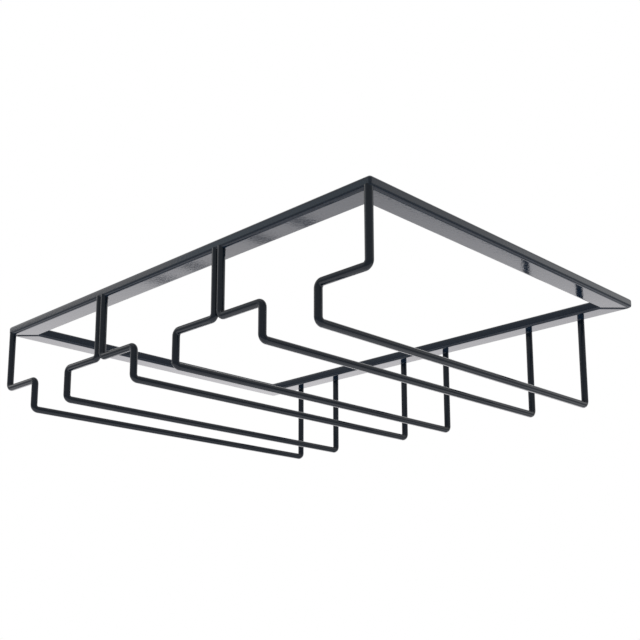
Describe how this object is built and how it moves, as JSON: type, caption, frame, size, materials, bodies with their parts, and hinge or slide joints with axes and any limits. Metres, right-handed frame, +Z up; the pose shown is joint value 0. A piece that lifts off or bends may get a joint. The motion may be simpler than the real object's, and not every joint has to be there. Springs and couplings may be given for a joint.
{
  "type": "hanging wine glass rack",
  "caption": "Black coated steel rack for the underside of a cabinet: flat tube frame with bent wire rails that hold hanging wine glasses by their feet.",
  "frame": {"origin": "centre of the frame's top face, where it lies against the cabinet's underside", "axes": "+Z up, towards the cabinet; +X along the longer side of the frame, to the right as seen from the front; the front, where the glasses go in, faces -Y"},
  "size_m": [0.34, 0.2558, 0.0674],
  "materials": {
    "frame_coat": "semi-gloss black powder coat with a faint orange peel, on steel tube",
    "wire_coat": "semi-gloss black powder coat on round steel wire",
    "weld_coat": "semi-gloss black powder coat over weld beads"
  },
  "bodies": {
    "root": {"front_bar": "frame_coat", "back_bar": "frame_coat", "left_bar": "frame_coat", "right_bar": "frame_coat", "wire_1": "wire_coat", "wire_2": "wire_coat", "wire_3": "wire_coat", "wire_4": "wire_coat", "wire_5": "wire_coat", "wire_6": "wire_coat", "weld_front_1": "weld_coat", "weld_front_2": "weld_coat", "weld_front_3": "weld_coat", "weld_front_4": "weld_coat", "weld_front_5": "weld_coat", "weld_front_6": "weld_coat", "weld_back_1": "weld_coat", "weld_back_2": "weld_coat", "weld_back_3": "weld_coat", "weld_back_4": "weld_coat", "weld_back_5": "weld_coat", "weld_back_6": "weld_coat", "corner_weld_1": "weld_coat", "corner_weld_2": "weld_coat", "corner_weld_3": "weld_coat", "corner_weld_4": "weld_coat"}
  },
  "joints": []
}
